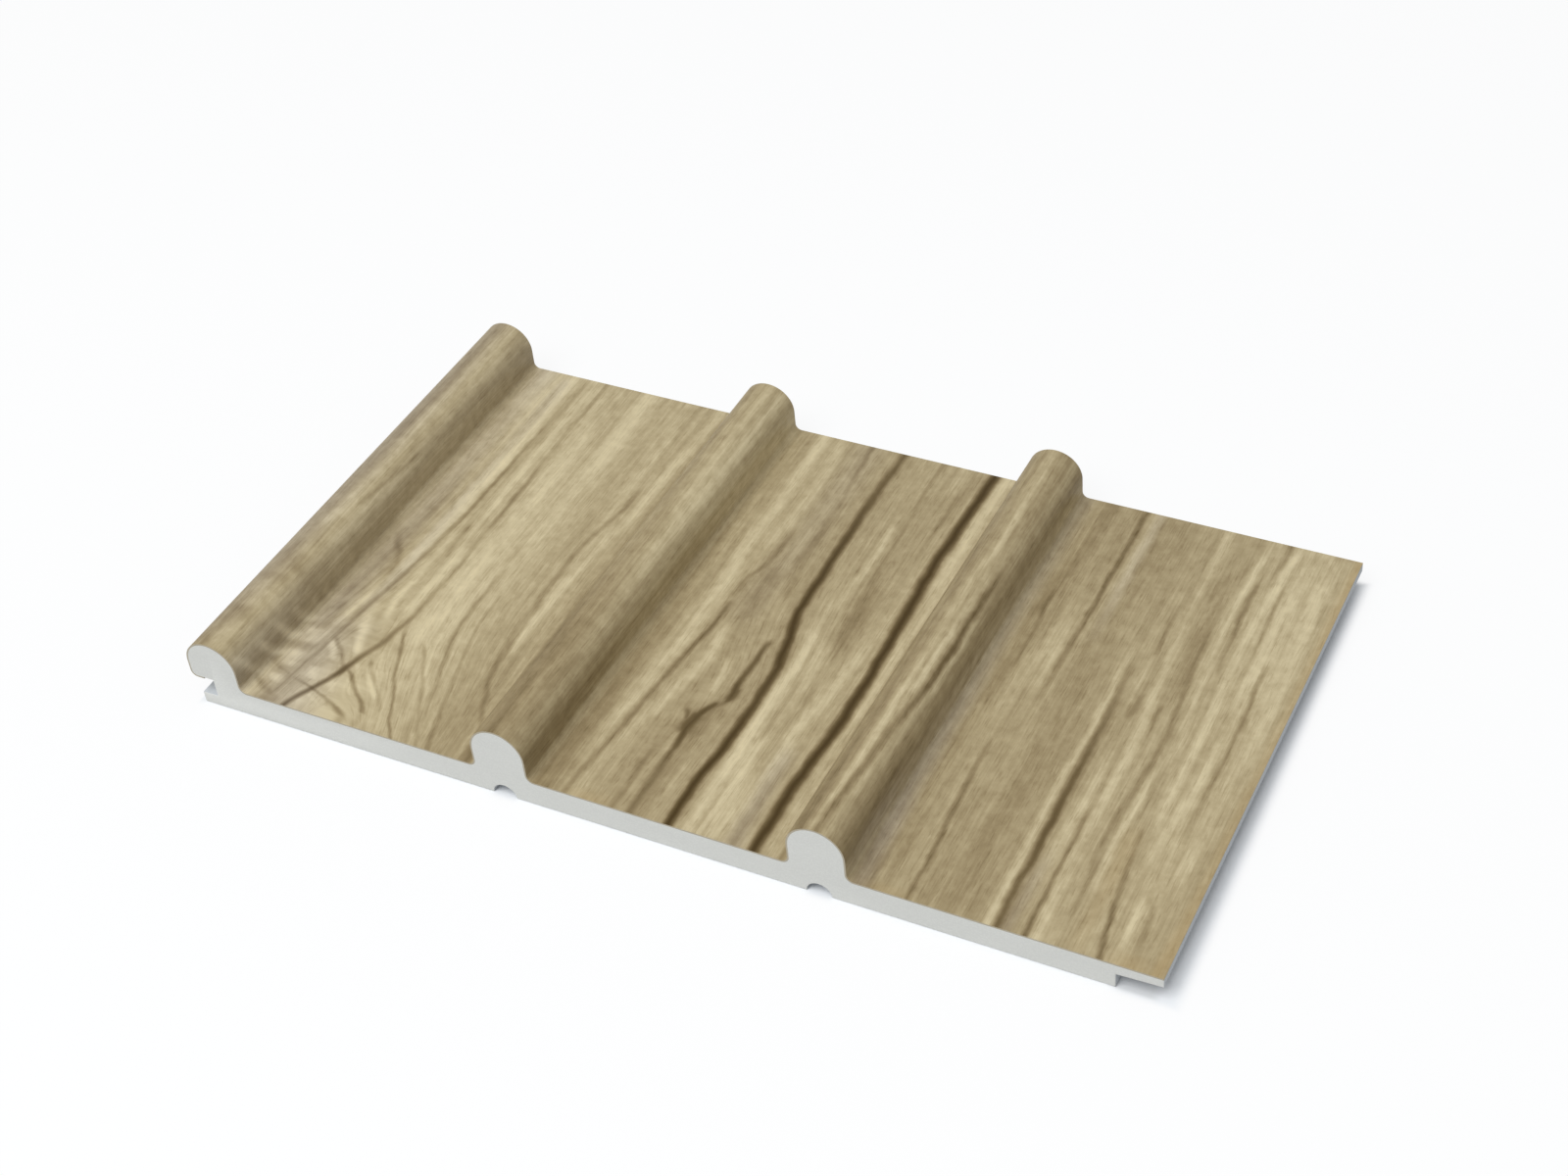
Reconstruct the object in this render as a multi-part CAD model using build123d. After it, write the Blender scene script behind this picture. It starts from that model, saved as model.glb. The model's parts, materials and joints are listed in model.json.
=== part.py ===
"""Slat wall panel: a cut length of extruded foamed polystyrene with a wood-print film on its face.

The panel lies on its back. X runs across the slats, Y along them and Z out of the wall.
The origin is at the centre of the back. All sizes are in millimetres.
"""

import os

from build123d import *

# Driving dimensions of the face
CUT_LENGTH = 83.0  # length along the slats
SLAT_COUNT = 3
SLAT_PITCH = 48.0  # from one slat to the next, also across the joint of two panels
SLAT_WIDTH = 8.5
SLAT_HEIGHT = 7.7  # above the sheet's face
ROOT_FILLET = 1.0  # where a slat's side meets the sheet
SHEET_THICKNESS = 4.3  # film included

# Film
FILM_THICKNESS = 0.25
FILM_TURN_UNDER = 2.2  # how far the film turns in under the first slat

# Joint of two neighbouring panels
LIP_ROOT_THICKNESS = 1.9  # film included
LIP_TIP_THICKNESS = 1.6
LIP_WIDTH = 6.2
OVERHANG = 3.8  # of the first slat, past the wall of its edge groove
OVERHANG_CORNER = 1.0  # radius of the overhang's lower corner
FOOT_SETBACK = 1.1  # the foot ends short of the first slat's outer side
JOINT_CLEARANCE = 0.5

# Relief grooves in the back, behind every slat but the first
RELIEF_RADIUS = 1.8

# Heights above the back
slat_top = SHEET_THICKNESS + SLAT_HEIGHT
crown_radius = SLAT_WIDTH / 2
crown_height = slat_top - crown_radius
overhang_underside = SHEET_THICKNESS + JOINT_CLEARANCE
groove_ceiling = overhang_underside + FILM_THICKNESS
foot_top = SHEET_THICKNESS - LIP_ROOT_THICKNESS - JOINT_CLEARANCE

# Places across the panel, from the first slat's outer side
groove_wall = OVERHANG
slat_starts = [number * SLAT_PITCH for number in range(SLAT_COUNT)]
cover_width = SLAT_COUNT * SLAT_PITCH
lip_tip = cover_width + groove_wall - JOINT_CLEARANCE
rebate_wall = lip_tip - LIP_WIDTH


def first_slat_outer_side(inset):
    """The overhang of the first slat, from its underside up to the crown."""
    corner = (OVERHANG_CORNER, overhang_underside + OVERHANG_CORNER)
    underside = overhang_underside + inset
    return [
        Line((FILM_TURN_UNDER, underside), (OVERHANG_CORNER, underside)),
        CenterArc(corner, OVERHANG_CORNER - inset, -90, -90),
        Line((inset, corner[1]), (inset, crown_height)),
    ]


def slat_near_side(start, inset):
    """The root fillet and the side of a slat, on the side of the first slat."""
    root = (start - ROOT_FILLET, SHEET_THICKNESS + ROOT_FILLET)
    return [
        CenterArc(root, ROOT_FILLET + inset, -90, 90),
        Line((start + inset, root[1]), (start + inset, crown_height)),
    ]


def slat_crown_and_far_side(start, inset):
    """The half-round crown, the other side of the slat and its root fillet."""
    crown = (start + crown_radius, crown_height)
    side = start + SLAT_WIDTH - inset
    root = (start + SLAT_WIDTH + ROOT_FILLET, SHEET_THICKNESS + ROOT_FILLET)
    return [
        CenterArc(crown, crown_radius - inset, 180, -180),
        Line((side, crown_height), (side, root[1])),
        CenterArc(root, ROOT_FILLET + inset, 180, 90),
    ]


def bay(start, end, inset):
    """The flat of the sheet between two slats, or beside the last one."""
    height = SHEET_THICKNESS - inset
    return [Line((start, height), (end, height))]


def face_line(inset):
    """The profile of the panel's face, taken in by the inset: 0 is the film's outer side."""
    edges = first_slat_outer_side(inset)
    for start in slat_starts:
        if start > 0:
            edges += slat_near_side(start, inset)
        edges += slat_crown_and_far_side(start, inset)
        bay_start = start + SLAT_WIDTH + ROOT_FILLET
        is_last = start == slat_starts[-1]
        bay_end = lip_tip if is_last else start + SLAT_PITCH - ROOT_FILLET
        edges += bay(bay_start, bay_end, inset)
    return edges


def back_line():
    """The profile of the core's lip, back, foot and edge groove, from the lip's tip to the film's edge."""
    lip_and_rebate = Polyline(
        (lip_tip, SHEET_THICKNESS - FILM_THICKNESS),
        (lip_tip, SHEET_THICKNESS - LIP_TIP_THICKNESS),
        (rebate_wall, SHEET_THICKNESS - LIP_ROOT_THICKNESS),
        (rebate_wall, 0),
    )
    edges = [lip_and_rebate]
    place = rebate_wall
    for start in reversed(slat_starts[1:]):
        middle = start + SLAT_WIDTH / 2
        edges.append(Line((place, 0), (middle + RELIEF_RADIUS, 0)))
        edges.append(CenterArc((middle, 0), RELIEF_RADIUS, 0, 180))
        place = middle - RELIEF_RADIUS
    foot_and_groove = Polyline(
        (place, 0),
        (FOOT_SETBACK, 0),
        (FOOT_SETBACK, foot_top),
        (groove_wall, foot_top),
        (groove_wall, groove_ceiling),
        (FILM_TURN_UNDER, groove_ceiling),
    )
    return edges + [foot_and_groove]


def film_edges():
    """The two cut edges of the film: at the lip's tip and under the first slat."""
    return [
        Line((lip_tip, SHEET_THICKNESS), (lip_tip, SHEET_THICKNESS - FILM_THICKNESS)),
        Line((FILM_TURN_UNDER, overhang_underside), (FILM_TURN_UNDER, groove_ceiling)),
    ]


def extruded(outline):
    """A profile drawn from the first slat's outer side, centred on the origin and extruded along the slats."""
    profile = make_face(outline)
    centred = Pos(-lip_tip / 2, 0) * profile
    return extrude(Plane.XZ * centred, CUT_LENGTH / 2, both=True)


panel_core = extruded(face_line(FILM_THICKNESS) + back_line())
wood_foil = extruded(face_line(0) + film_edges() + face_line(FILM_THICKNESS))

os.makedirs("parts", exist_ok=True)
for name, solid in {"panel_core": panel_core, "wood_foil": wood_foil}.items():
    export_step(solid, f"parts/{name}.step")
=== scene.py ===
"""Slat wall panel: the printed wood film and the foam core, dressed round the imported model.

X runs across the slats, Y along them and Z out of the wall. Meshes are in metres. The wood print is drawn
in millimetres: its places are given on the flat sheet by X, and on a slat by degrees from its top line.
"""

import json
import math

import bmesh
import bpy
from bpy.props import FloatProperty, FloatVectorProperty, PointerProperty
from mathutils import Matrix, Vector


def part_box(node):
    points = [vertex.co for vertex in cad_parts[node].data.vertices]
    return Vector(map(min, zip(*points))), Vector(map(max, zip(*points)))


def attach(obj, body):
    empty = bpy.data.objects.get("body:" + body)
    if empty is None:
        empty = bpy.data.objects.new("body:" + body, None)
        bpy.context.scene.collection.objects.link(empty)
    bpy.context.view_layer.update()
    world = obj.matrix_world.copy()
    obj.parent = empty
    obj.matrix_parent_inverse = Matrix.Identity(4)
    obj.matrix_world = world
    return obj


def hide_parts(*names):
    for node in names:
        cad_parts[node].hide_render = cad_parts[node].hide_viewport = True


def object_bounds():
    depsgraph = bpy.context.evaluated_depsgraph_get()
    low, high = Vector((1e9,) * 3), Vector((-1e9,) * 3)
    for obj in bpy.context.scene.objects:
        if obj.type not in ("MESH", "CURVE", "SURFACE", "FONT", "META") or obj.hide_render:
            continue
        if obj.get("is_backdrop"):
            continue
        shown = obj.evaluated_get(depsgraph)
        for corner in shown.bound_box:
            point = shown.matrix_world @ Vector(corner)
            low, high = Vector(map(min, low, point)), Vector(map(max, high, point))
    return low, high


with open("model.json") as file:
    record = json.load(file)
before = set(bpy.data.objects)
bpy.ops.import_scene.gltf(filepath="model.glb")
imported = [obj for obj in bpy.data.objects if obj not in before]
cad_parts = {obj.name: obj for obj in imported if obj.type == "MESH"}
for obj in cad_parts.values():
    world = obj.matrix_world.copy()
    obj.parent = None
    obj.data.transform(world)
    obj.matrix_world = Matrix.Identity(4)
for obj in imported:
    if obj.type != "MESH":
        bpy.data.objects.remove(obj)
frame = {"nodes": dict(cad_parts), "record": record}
cad_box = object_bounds()

bl_info = {
    "name": "Slat wall panel",
    "version": (1, 0, 0),
    "blender": (4, 5, 0),
    "location": "View3D > Sidebar > Slat panel",
    "description": "Builds the printed film, the foam core and the stage of a slat wall panel",
    "category": "Object",
}

MM = 0.001
FILM_NODE = "wood_foil"
CORE_NODE = "panel_core"
film_low, film_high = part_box(FILM_NODE)
core_low, core_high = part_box(CORE_NODE)
bay_boxes = [opening["box_m"] for opening in frame["record"]["physics"]["openings"]]
FRONT_END = core_low.y
REAR_END = core_high.y
# The same two ends in millimetres, for the marks of the print
FRONT = round(FRONT_END / MM, 3)
REAR = round(REAR_END / MM, 3)


# Sizes and colours that a user would change

def length(name, description, default):
    """A size in metres, shown in the unit of the scene."""
    return FloatProperty(name=name, description=description, default=default, min=0, unit="LENGTH")


def colour(name, description, default):
    """A plain colour, as the finish writes it before light falls on it."""
    return FloatVectorProperty(
        name=name, description=description, default=default, size=3, min=0, max=1, subtype="COLOR"
    )


def angle(name, description, degrees):
    return FloatProperty(name=name, description=description, default=math.radians(degrees), subtype="ANGLE")


class SlatPanelSizes(bpy.types.PropertyGroup):
    """Sizes of the panel's face."""

    slat_pitch: length("Slat pitch", "From one slat to the next", bay_boxes[1][0][0] - bay_boxes[0][0][0])
    slat_width: length("Slat width", "Across one slat", 8.5 * MM)
    root_fillet: length("Root fillet", "Radius between a slat's side and the sheet", 1.0 * MM)
    film_thickness: length("Film thickness", "Of the printed film", 0.25 * MM)
    film_turn_under: length("Turn under", "How far the film turns in under the first slat", 2.2 * MM)
    overhang_corner: length("Overhang corner", "Radius of the first slat's lower corner", 1.0 * MM)
    overhang_gap: length("Overhang gap", "From the sheet's face up to the first slat's underside", 0.5 * MM)
    split_depth: length("Split depth", "Depth of the splits that are pressed into the film", 0.09 * MM)
    eased_edge: length("Eased edge", "How far the foam's bare edges are eased", 0.12 * MM)


class SlatPanelColours(bpy.types.PropertyGroup):
    """Colours of the print, of the film's cut edge and of the foam."""

    wood_deep: colour("Deep grain", "Darkest tone of the grain", (0.150, 0.106, 0.046))
    wood_brown: colour("Brown", "Darker tone of the wood", (0.322, 0.252, 0.138))
    wood_tan: colour("Tan", "Middle tone of the wood", (0.458, 0.378, 0.224))
    wood_pale: colour("Pale", "Lightest tone of the wood", (0.640, 0.552, 0.352))
    wood_warm: colour("Warm cast", "Tone of the print along its worn edges", (0.440, 0.300, 0.125))
    split: colour("Split", "Inside of the printed splits", (0.060, 0.036, 0.008))
    film_edge: colour("Film edge", "Cut edge of the film", (0.520, 0.470, 0.360))
    foam_sawn: colour("Sawn foam", "Foam where the panel is cut to length", (0.800, 0.815, 0.785))
    foam_skin: colour("Foam skin", "Smooth foam of the back, the lip and the foot", (0.620, 0.660, 0.690))


class SlatPanelStage(bpy.types.PropertyGroup):
    """Camera, lamp and floor."""

    camera_place: FloatVectorProperty(
        name="Camera", description="Where the camera stands", subtype="TRANSLATION", unit="LENGTH",
        default=(0.13786, -0.23065, 0.24380),
    )
    camera_yaw: angle("Yaw", "Turn of the view to the right of +Y", -30.517)
    camera_pitch: angle("Pitch", "How far the view looks down", 40.995)
    camera_roll: angle("Roll", "Turn of the camera about its own view", -6.328)
    camera_lens: FloatProperty(
        name="Lens", description="Focal length for a sensor 36 mm wide", unit="CAMERA", default=57.455
    )
    key_power: FloatProperty(
        name="Key lamp", description="Power of the large soft lamp", unit="POWER", default=5.2, min=0
    )
    sky_strength: FloatProperty(
        name="Sky", description="Even light from all round", default=0.47, min=0
    )
    floor_white: FloatProperty(
        name="Floor white", description="How far the floor shows as plain white", default=0.85,
        min=0, max=1, subtype="FACTOR",
    )
    floor_width: length("Floor", "Side of the square floor", 8.0)


# Where the print lies on the panel

class Profile:
    """The film's outer line across the panel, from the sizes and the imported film's box."""

    def __init__(self, sizes):
        self.pitch = sizes.slat_pitch
        self.fillet = sizes.root_fillet
        self.radius = sizes.slat_width / 2
        self.sheet = film_low.z + sizes.film_thickness
        self.crown = film_high.z - self.radius
        self.underside = self.sheet + sizes.overhang_gap
        self.first_side = film_low.x
        self.lip_tip = film_high.x
        self.first_middle = self.first_side + self.radius
        self.count = int((self.lip_tip - self.first_side) // self.pitch)
        self.side_drop = self.crown - self.sheet
        self.extra = 2 * (self.radius * (math.pi / 2 - 1) + self.side_drop)

    def unrolled(self, x, z):
        """Distance across the film laid flat, from the first slat's top line to a point of the profile."""
        number = min(max(round((x - self.first_middle) / self.pitch), 0), self.count - 1)
        offset = x - self.first_middle - number * self.pitch
        out = abs(offset)
        over_crown = self.radius * math.atan2(out, max(z - self.crown, 0))
        down_side = min(max(self.crown - z, 0), self.side_drop)
        on_sheet = max(out - self.radius, 0)
        distance = over_crown + down_side + on_sheet
        return number * (self.pitch + self.extra) + math.copysign(distance, offset)

    def sheet_place(self, x):
        """Distance across the film laid flat, for a place on the sheet between two slats."""
        number = math.floor((x - self.first_middle) / self.pitch)
        return x - self.first_middle + (number + 0.5) * self.extra

    def slat_place(self, number, degrees):
        """The same for a place on a slat, by its angle from the slat's top line."""
        return number * (self.pitch + self.extra) + self.radius * math.radians(degrees)


# The wood figure of the print: each mark is a width and a route of (along, across, strength) points

class Mark:
    """A long mark of the print, from the rear towards the front.

    Places are in millimetres, or in degrees across a slat, and strengths are in percent.
    """

    def __init__(self, width, *route, slat=None):
        self.width = width
        self.route = route
        self.slat = slat

    def points(self, profile):
        """The route with its places across the film laid flat, and with strengths from 0 to 1."""
        for along, across, strength in self.route:
            if self.slat is None:
                place = profile.sheet_place(across * MM)
            else:
                place = profile.slat_place(self.slat, across)
            yield along, place / MM, strength / 100


SPLITS = [
    # Second bay
    Mark(2.5, (REAR, 1.6, 50), (30, 1.5, 62), (22, 1.6, 82), (14, 1.9, 92), (6, 2.1, 98), (0, 2.8, 100),
         (-5, 3.9, 100), (-10, 4.8, 92), (-15, 4.9, 88), (-22, 4.9, 97), (-27, 4.8, 100), (-32, 4.3, 100),
         (FRONT, 4.5, 100)),
    Mark(2.9, (REAR, 16.8, 100), (22, 16.4, 100), (6, 17, 100), (-8, 17.7, 100), (-14, 17.7, 100),
         (-20, 17.5, 100), (-30, 17, 100), (FRONT, 17.3, 100)),
    # Knot of the second bay
    Mark(1.8, (-3, 1.5, 0), (-5, 1.2, 48), (-10, 1.1, 58), (-13, 1, 62), (-15, 1, 80), (-17, 1.2, 70),
         (-18, 0.9, 35), (-19.5, -0.2, 25)),
    Mark(2.6, (-13.8, 1.1, 0), (-15.6, 1.2, 66), (-16.8, 1.2, 66), (-18.2, 1.1, 0)),
    Mark(2, (-16.5, 0.7, 0), (-18.5, -0.1, 50), (-20, -0.8, 72), (-23, -1.5, 80), (-25.5, -1.7, 78),
         (-29, -1.5, 45), (-35, -1.4, 32), (FRONT, -1.4, 30)),
    Mark(3.6, (-19, -1, 0), (-21.4, -1.5, 62), (-23.4, -1.8, 70), (-25.4, -1.8, 40), (-28, -1.7, 0)),
    Mark(1.9, (-19.8, -3.6, 0), (-21, -3.2, 42), (-22.4, -2.6, 50), (-23.6, -2.2, 0)),
    # Third bay
    Mark(2.1, (14, 51.2, 0), (9, 50.7, 15), (5, 50.8, 22), (0, 51, 36), (-4, 51, 42), (-10, 51.1, 50),
         (-16, 51.1, 58), (-22, 51.3, 68), (-28, 51.4, 60), (-34, 51.3, 48), (FRONT, 51.6, 50)),
    # First bay
    Mark(1.9, (-18, -50.6, 8), (-22, -51.2, 30), (-25, -51.6, 38), (-28, -52.6, 46), (-30, -53.2, 56),
         (-32, -53.8, 64), (-34.5, -54.7, 58), (-37.5, -56.2, 58), (-39.5, -57.1, 58), (FRONT, -57.8, 60)),
]

GRAIN_LINES = [
    # First slat
    Mark(1.3, (12, 56, 0), (7, 52, 35), (3, 49, 40), (-1, 44, 45), (-5, 38, 40), (-10, 34, 0), slat=0),
    # First bay
    Mark(1.4, (REAR, -54.8, 15), (30, -55.2, 22), (22, -55.4, 42), (12, -55.5, 62), (5, -55.6, 60),
         (0, -56, 38), (-7, -56.6, 45), (-15, -57.5, 55), (-20, -58.3, 62), (-25, -59, 55),
         (-36, -60.2, 40), (FRONT, -60.8, 20)),
    Mark(1.4, (REAR, -51.4, 35), (34, -51.2, 40), (25, -51.2, 32), (15, -50.7, 48), (8, -50.6, 75),
         (0, -50.6, 35), (-8, -50.2, 38), (-15, -50.3, 55), (-20, -50.6, 45), (-23, -51, 30)),
    Mark(1.7, (22, -33.2, 0), (15, -33.2, 60), (9, -34.2, 50), (0, -35, 50), (-8, -34.8, 55),
         (-15, -34.6, 28), (-20, -34, 42), (-25, -33, 60), (-30, -31.2, 50), (-35, -28.6, 40),
         (FRONT, -27, 30)),
    Mark(1.3, (-4, -43.4, 0), (-8, -43.1, 30), (-15, -42.9, 42), (-20, -42.4, 50), (-25, -41, 52),
         (-29, -39.6, 40), (-36, -37.2, 20)),
    Mark(1.3, (-8, -40.6, 0), (-15, -40.6, 32), (-20, -39.6, 32), (-25, -38.3, 32), (-30, -37, 38),
         (FRONT, -33.5, 40)),
    Mark(3.4, (6, -28.3, 0), (-4, -28.4, 25), (-12, -28.1, 45), (-20, -27.9, 52), (-30, -27.6, 55),
         (FRONT, -27.3, 50)),
    Mark(2.6, (-2, -63.4, 0), (-4.6, -62.4, 50), (-7, -60.4, 48), (-11, -59.4, 30), (-14, -59.4, 0)),
    Mark(2.4, (-14, -62.8, 0), (-17, -62.6, 30), (-20, -62.2, 30), (-23, -62, 0)),
    Mark(1.8, (4, -53.8, 0), (1.5, -53.8, 50), (-1, -53.7, 20), (-3.4, -53.3, 35), (-6, -53.2, 0)),
    # Rays of the fan
    Mark(1.2, (-19.5, -50.2, 0), (-22.5, -49.5, 60), (-24.5, -48.7, 90), (-27.5, -47.2, 75),
         (-31, -45.6, 75), (-35, -43.5, 75), (-38, -41.8, 70), (FRONT, -39.6, 70)),
    Mark(1.8, (-31, -53.8, 0), (-32, -52.8, 75), (-33.3, -51.3, 90), (-35.4, -49.1, 85), (-37.4, -47, 100),
         (-38.8, -46, 0)),
    Mark(1.8, (-25, -60.4, 0), (-27.3, -58, 45), (-29.4, -55.8, 48), (-31.4, -54, 45)),
    Mark(3.2, (-34.4, -65, 20), (-35.4, -61.5, 22), (-36.2, -58.6, 25), (-37.2, -55.5, 65),
         (-38.2, -52.4, 60), (-39.3, -50, 95), (-40.6, -48.4, 40)),
    Mark(4, (-37.6, -65.2, 40), (-39.2, -62.4, 50), (-40.6, -60.4, 15)),
    Mark(1.5, (-27.5, -52, 0), (-29.5, -50.6, 40), (-32, -48.6, 48), (-34.6, -46.2, 48), (-37, -44.4, 20)),
    Mark(1.4, (-21.5, -46.8, 0), (-24, -45.2, 35), (-27, -43.4, 42), (-31, -41, 42), (-36, -38.2, 38),
         (FRONT, -35.5, 30)),
    # Second bay
    Mark(1.7, (3.5, -8, 0), (1, -8, 70), (-3, -8.1, 90), (-7, -8.4, 100), (-12, -9, 80), (-17, -9.6, 75),
         (-22, -10.1, 65), (-29, -10.4, 55), (-35, -11.1, 40), (FRONT, -11.6, 40)),
    Mark(1.6, (20, -6.4, 0), (15, -6.5, 50), (11, -6.8, 40), (7, -8, 50), (4, -8.2, 40)),
    Mark(1.5, (REAR, -3.7, 60), (33, -3.2, 40), (25, -2.6, 25), (18, -2.2, 10)),
    Mark(1.4, (REAR, 8.4, 50), (33, 8.5, 30), (26, 8.9, 30), (14, 9.2, 25), (9, 9.6, 0)),
    Mark(1.3, (38, 13, 0), (33, 13.2, 30), (28, 13.4, 30), (24, 13.4, 0)),
    Mark(1.2, (-8, 11.2, 0), (-12, 11.4, 35), (-18, 12, 15), (-22, 12.4, 0)),
    Mark(2.4, (8, 20.8, 0), (0, 20.8, 45), (-10, 20.9, 45), (-25, 21.1, 60), (FRONT, 21.1, 50)),
    Mark(1.6, (-27, -4.2, 0), (-31, -4.2, 40), (-36, -4, 35), (FRONT, -4, 35)),
    # Third slat
    Mark(1.8, (20, 42, 0), (15, 41, 40), (11, 40, 70), (7, 38, 100), (-5, 38, 100), (-9, 37, 95),
         (-13, 34, 75), (-17, 29, 58), (-21, 22, 52), (-25, 18, 52), (-29, 15, 55), (-33, 9, 75),
         (-37, 6, 85), (FRONT, 4, 70), slat=2),
    # Third bay
    Mark(1.7, (REAR, 41.2, 80), (30, 41.2, 88), (22, 41.2, 85), (14, 41.3, 72), (8, 41.2, 55), (1, 41, 35),
         (-5, 41, 0)),
    Mark(1.6, (-8, 38, 0), (-12, 38.1, 40), (-17, 38.3, 62), (-23, 38.6, 85), (-28, 38.7, 95),
         (-34, 39.2, 90), (FRONT, 39.2, 90)),
    Mark(1.3, (-14, 55.1, 0), (-20, 55.1, 40), (-28, 55.2, 50), (-34, 55.2, 70), (FRONT, 55.3, 95)),
    Mark(1.8, (22, 58.1, 20), (18, 58.2, 60), (14, 58.4, 65), (8, 59, 45), (2, 59.6, 65), (-5, 59.7, 65),
         (-12, 59.3, 55), (-18, 58.9, 55), (-26, 59, 52), (-34, 59.4, 25)),
    Mark(1.4, (REAR, 63.2, 70), (36, 63, 40), (31, 62.6, 5)),
    Mark(1.5, (34, 61.4, 0), (31, 61.2, 55), (25, 61.2, 75), (19, 61.6, 55), (13, 61.8, 40), (9, 62, 0)),
    Mark(1.2, (34, 65, 0), (31, 65, 45), (22, 65.2, 45), (16, 65.3, 10)),
    Mark(1.4, (19, 67.8, 0), (15, 67.8, 45), (8, 68, 72), (2, 68.2, 75), (-4, 68.2, 72), (-10, 68.1, 55),
         (-17, 68, 20)),
    Mark(1.5, (-16, 62.4, 0), (-20, 62.6, 40), (-26, 63.1, 55), (-31, 63.7, 65), (-35, 64.2, 85),
         (FRONT, 65.2, 95)),
    Mark(1.3, (22, 34.6, 0), (18, 34.8, 50), (12, 35.2, 45), (6, 35.4, 40), (2, 35.6, 0)),
    Mark(1.6, (-29, 68.4, 0), (-33, 68.8, 55), (-38, 69, 35), (FRONT, 69, 10)),
    Mark(1.4, (24, 52.2, 0), (20, 52.5, 50), (14, 52.6, 40), (10, 52.4, 0)),
    Mark(1.8, (5, 53.6, 0), (2.4, 53.8, 45), (-0.5, 53.6, 25), (-3, 53.4, 0)),
    Mark(1.4, (4, 57, 0), (1.8, 57, 50), (-2, 57.4, 30), (-8, 57.6, 25), (-13, 57.6, 0)),
]

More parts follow.
